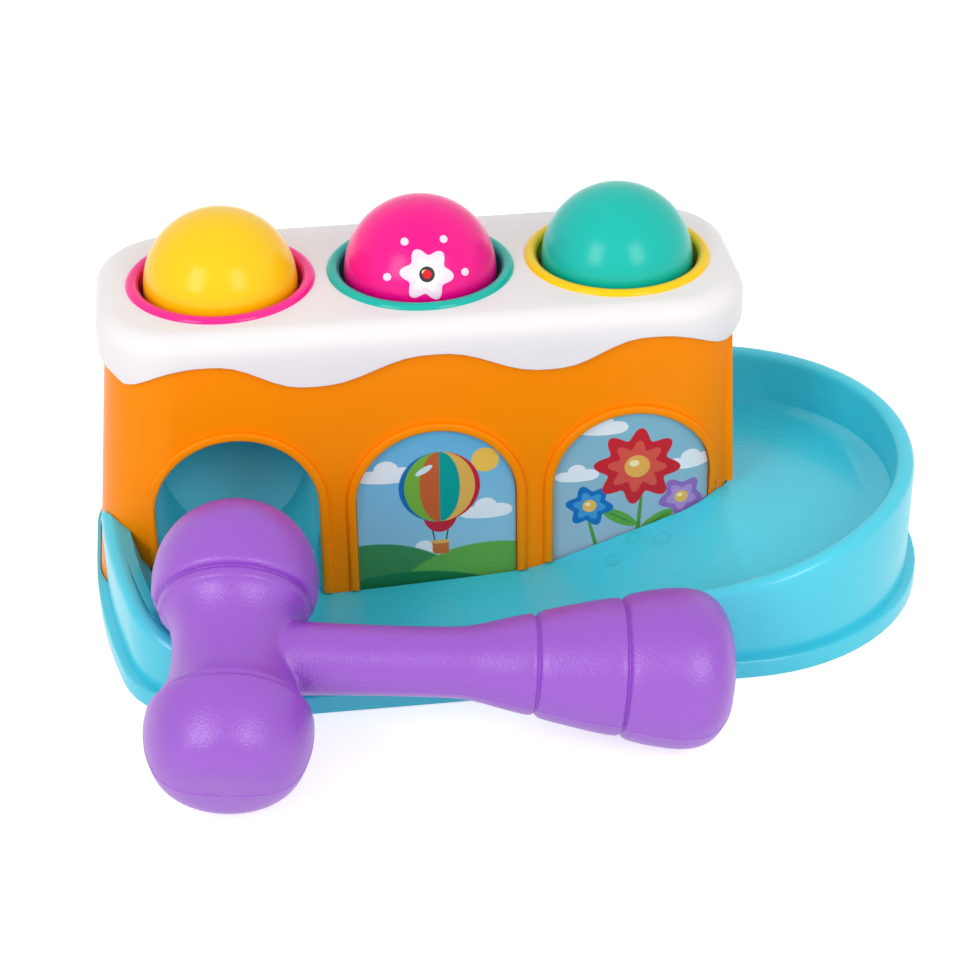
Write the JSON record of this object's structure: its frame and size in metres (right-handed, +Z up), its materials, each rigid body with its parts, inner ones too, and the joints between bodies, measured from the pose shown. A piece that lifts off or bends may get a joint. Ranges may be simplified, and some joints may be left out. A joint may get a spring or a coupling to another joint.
{
  "type": "ball pounding bench",
  "caption": "Toddler toy: balls gripped in collars on an arched tower are knocked through with a mallet, roll out of the tower and run down a fenced track round its end.",
  "frame": {"origin": "On the ground under the middle ball, on the underside of the base.", "axes": "+X to the right along the row of balls, towards the round end of the track; +Y to the back; +Z up."},
  "size_m": [0.2555, 0.1843, 0.118],
  "materials": {
    "base_blue": "glossy injection-moulded plastic",
    "tower_orange": "glossy injection-moulded plastic",
    "cap_white": "glossy injection-moulded plastic",
    "ring_pink": "glossy injection-moulded plastic",
    "teal": "glossy plastic",
    "yellow": "glossy plastic",
    "soft_grip": "soft elastomer",
    "ball_magenta": "glossy plastic with a small print",
    "label_print": null,
    "screw_steel": "zinc-plated steel",
    "mallet_purple": "blow-moulded plastic with a fine grain"
  },
  "bodies": {
    "bench": {"track_base": "base_blue", "ball_chute": "base_blue", "inner_ramp": "base_blue", "tower_front_shell": "tower_orange", "tower_rear_shell": "tower_orange", "top_cap": "cap_white", "ring_left": "ring_pink", "ring_middle": "teal", "ring_right": "yellow", "grip_left": "soft_grip", "grip_middle": "soft_grip", "grip_right": "soft_grip", "panel_middle": "cap_white", "panel_right": "cap_white", "label_middle": "label_print", "label_right": "label_print", "base_screws": "screw_steel", "shell_screws": "screw_steel", "cap_screws": "screw_steel"},
    "left_ball": {"ball_left": "yellow"},
    "middle_ball": {"ball_middle": "ball_magenta"},
    "right_ball": {"ball_right": "teal"},
    "loose_mallet": {"mallet": "mallet_purple"}
  },
  "joints": [
    {"name": "left_ball_drop", "type": "slide", "parent": "bench", "child": "left_ball", "axis": [0, 0, 1], "range_m": [-0.0498, 0.05]},
    {"name": "middle_ball_drop", "type": "slide", "parent": "bench", "child": "middle_ball", "axis": [0, 0, 1], "range_m": [-0.0383, 0.05]},
    {"name": "right_ball_drop", "type": "slide", "parent": "bench", "child": "right_ball", "axis": [0, 0, 1], "range_m": [-0.0409, 0.05]},
    {"name": "mallet_lift", "type": "slide", "parent": "bench", "child": "loose_mallet", "axis": [0, 0, 1], "range_m": [0, 0.15]}
  ]
}
